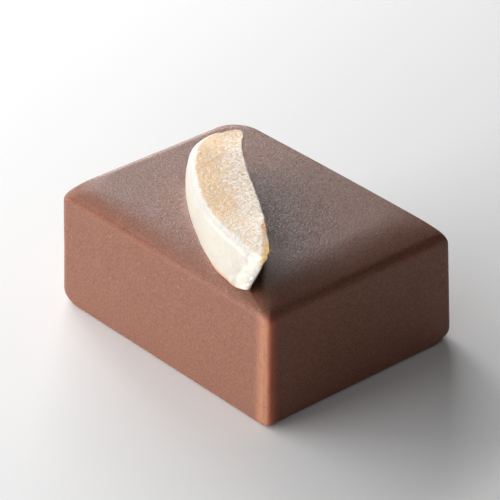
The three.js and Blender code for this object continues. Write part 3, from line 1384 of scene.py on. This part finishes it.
    def with_meniscus(self, rows: np.ndarray) -> np.ndarray:
        """Coating that creeps up round the almond's foot.

        Each place of the top rises by creep * exp(-d / reach), with d its distance from the foot's
        outline, and stays at the full creep under the foot.

        Args:
            rows: All rings.

        Returns:
            The rings with the rise added.
        """
        line = self.almond.outline_on_chocolate()
        lowest = rows[-1, 0, 2] - self.creep_depth
        level = rows[..., 2] > lowest
        places = rows[level]
        away = distance_to_line(places[:, :2], np.vstack([line, line[:1]]))
        away = np.where(inside_outline(places[:, :2], line), 0.0, away)
        fade = smooth_step(lowest, rows[-1, 0, 2] - 0.4, places[:, 2])
        rows[level, 2] += self.creep * np.exp(-away / self.creep_reach) * fade
        return rows

    def build(self) -> Object:
        """Makes and dresses the piece.

        Returns:
            The piece, which stands for the plain block.
        """
        rows, marks = self.rows()
        piece = closed_grid("coated_block", rows, marks)
        piece.data.materials.append(ChocolateFinish().material())
        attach(piece, "root")
        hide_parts("chocolate")
        return piece


# ---------------------------------------------------------------- studio


@dataclass(frozen=True)
class Softbox:
    """A rectangular soft lamp that looks at the object. All measures but the radiance are in degrees."""

    name: str
    azimuth: float
    elevation: float
    width: float
    height: float
    radiance: float

    def build(self, target: Vector, distance: float) -> None:
        """Makes the lamp, as large as its angles say at its distance.

        Args:
            target: Point it looks at.
            distance: Distance from that point in metres.
        """
        data = bpy.data.lights.new(self.name, "AREA")
        data.shape = "RECTANGLE"
        data.size = 2 * distance * math.tan(math.radians(self.width / 2))
        data.size_y = 2 * distance * math.tan(math.radians(self.height / 2))
        data.energy = self.radiance * math.pi * data.size * data.size_y
        lamp = bpy.data.objects.new(self.name, data)
        away = direction(self.azimuth, self.elevation)
        lamp.location = target + away * distance
        lamp.rotation_euler = away.to_track_quat("Z", "Y").to_euler()
        bpy.context.scene.collection.objects.link(lamp)


def direction(azimuth: float, elevation: float) -> Vector:
    """Direction from the object outwards; azimuth 0 is towards -Y and 90 towards +X.

    Args:
        azimuth: Angle in degrees.
        elevation: Angle above the horizon in degrees.

    Returns:
        A unit vector.
    """
    turn, climb = math.radians(azimuth), math.radians(elevation)
    return Vector((math.sin(turn) * math.cos(climb), -math.cos(turn) * math.cos(climb), math.sin(climb)))


@dataclass
class Studio:
    """Pale floor, soft lamps and the camera. Camera sizes are in millimetres."""

    azimuth: float = 49.03
    elevation: float = 30.59
    distance: float = 290.7
    aim_height: float = 6.5
    slide: Pair = (-0.332, 0.65)
    focal_length: float = 225.1
    sensor: float = 36.0
    floor_size: float = 1.6
    world_light: float = 0.005
    lamp_distance: float = 0.6
    lamps: tuple[Softbox, ...] = (
        Softbox("front_left_softbox", -26.0, 10.0, 44.0, 20.0, 12.6),
        Softbox("left_softbox", -78.0, 27.0, 60.0, 20.0, 7.6),
        Softbox("back_left_softbox", -118.0, 15.0, 34.0, 30.0, 7.5),
        Softbox("front_softbox", 20.0, 10.0, 40.0, 18.0, 4.0),
        Softbox("top_softbox", 0.0, 84.0, 60.0, 60.0, 0.27),
    )

    def build(self) -> None:
        """Makes the floor, the lamps, the world and the camera."""
        self.add_floor()
        target = Vector((0.0, 0.0, self.aim_height * MM))
        for lamp in self.lamps:
            lamp.build(target, self.lamp_distance)
            LOG.info("lamp %s", lamp.name)
        world = bpy.data.worlds.new("studio")
        world.use_nodes = True
        world.node_tree.nodes["Background"].inputs["Color"].default_value = (1.0, 1.0, 1.0, 1.0)
        world.node_tree.nodes["Background"].inputs["Strength"].default_value = self.world_light
        bpy.context.scene.world = world
        bpy.context.scene.view_settings.view_transform = "Standard"
        self.add_camera(target)

    def add_floor(self) -> None:
        """Makes the flat floor under the object."""
        half = self.floor_size / 2
        mesh = bpy.data.meshes.new("floor")
        corners = [(-half, -half, 0.0), (half, -half, 0.0), (half, half, 0.0), (-half, half, 0.0)]
        mesh.from_pydata(corners, [], [(0, 1, 2, 3)])
        floor = bpy.data.objects.new("floor", mesh)
        mesh.materials.append(FloorFinish().material())
        bpy.context.scene.collection.objects.link(floor)

    def add_camera(self, target: Vector) -> None:
        """Makes the camera at the photograph's angle.

        Args:
            target: Point that the camera would centre if it weren't slid sideways and up.
        """
        back = direction(self.azimuth, self.elevation)
        turn = math.radians(self.azimuth)
        right = Vector((math.cos(turn), math.sin(turn), 0.0))
        up = back.cross(right)
        data = bpy.data.cameras.new("camera")
        data.lens, data.sensor_width = self.focal_length, self.sensor
        data.clip_start, data.clip_end = 0.01, 10.0
        camera = bpy.data.objects.new("camera", data)
        shift = (right * self.slide[0] + up * self.slide[1]) * MM
        place = target + back * (self.distance * MM) + shift
        camera.matrix_world = Matrix.Translation(place) @ Matrix((right, up, back)).transposed().to_4x4()
        bpy.context.scene.collection.objects.link(camera)
        bpy.context.scene.camera = camera


def main() -> None:
    """Builds the pieces in order."""
    logging.basicConfig(level=logging.INFO, format="%(name)s: %(message)s")
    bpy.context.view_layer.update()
    low, high = (np.array(corner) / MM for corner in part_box("chocolate"))
    almond = AlmondPiece(top=float(high[2]))
    block = CoatedBlock(low=low, high=high, almond=almond)
    for maker in (block, almond):
        piece = maker.build()
        LOG.info("%s: %d faces", piece.name, len(piece.data.polygons))
    Studio().build()


if __name__ == "__main__":
    main()
